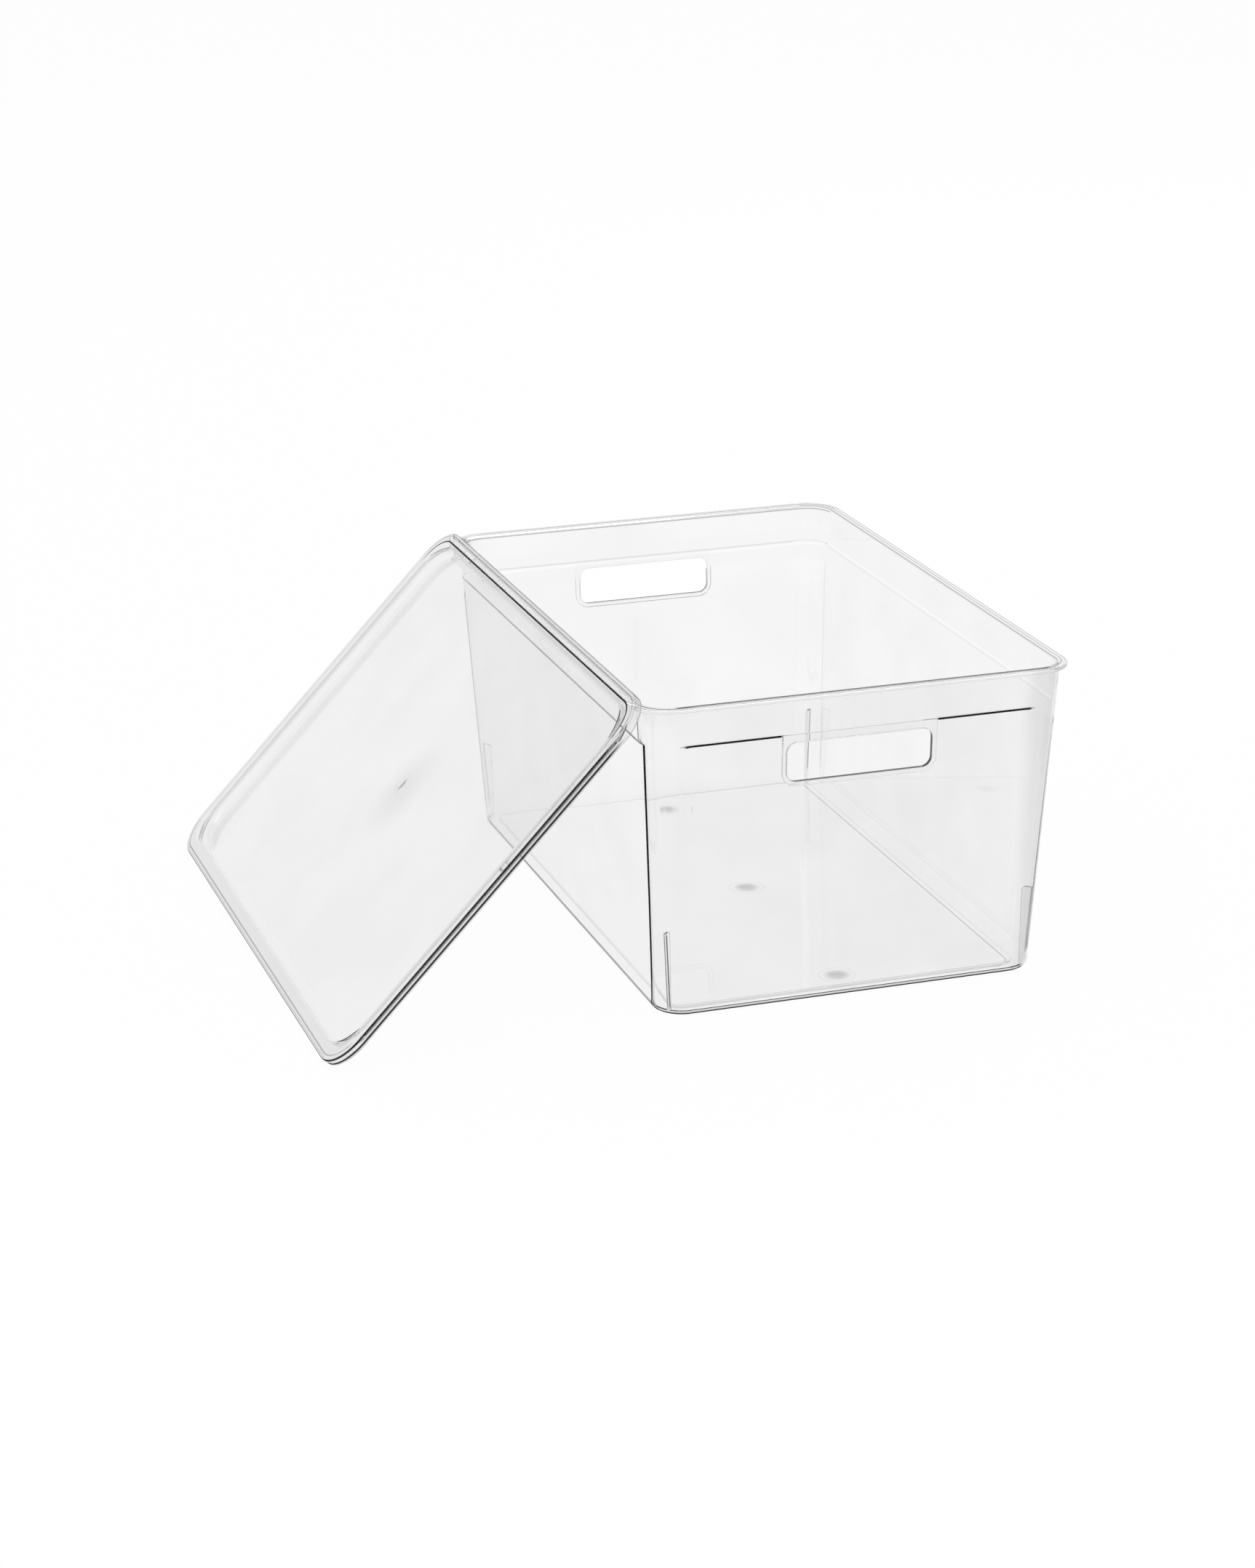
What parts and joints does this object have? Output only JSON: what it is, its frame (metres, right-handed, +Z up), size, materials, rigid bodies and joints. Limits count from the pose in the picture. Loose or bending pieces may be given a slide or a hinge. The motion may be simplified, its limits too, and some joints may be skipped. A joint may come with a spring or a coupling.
{
  "type": "clear plastic storage box with lid",
  "caption": "Clear plastic storage box with tapered walls, a flanged rim, a hand hole in each short wall, and a loose lid that leans on one long wall.",
  "frame": {"origin": "centre of the box's underside, on the plane the box stands on", "axes": "+Z up, out of the box's mouth; X across the box, with the lid leaning on the -X side; Y along the box, from one hand hole to the other"},
  "size_m": [0.4579, 0.4178, 0.2007],
  "materials": {
    "box_plastic": "clear, polished moulded plastic",
    "lid_plastic": "clear, polished moulded plastic"
  },
  "bodies": {
    "box": {"box": "box_plastic"},
    "lid": {"lid": "lid_plastic"}
  },
  "joints": [
    {"name": "lid_lift", "type": "slide", "parent": "box", "child": "lid", "axis": [-0.7213, 0, 0.6926], "range_m": [0, 0.15]}
  ]
}
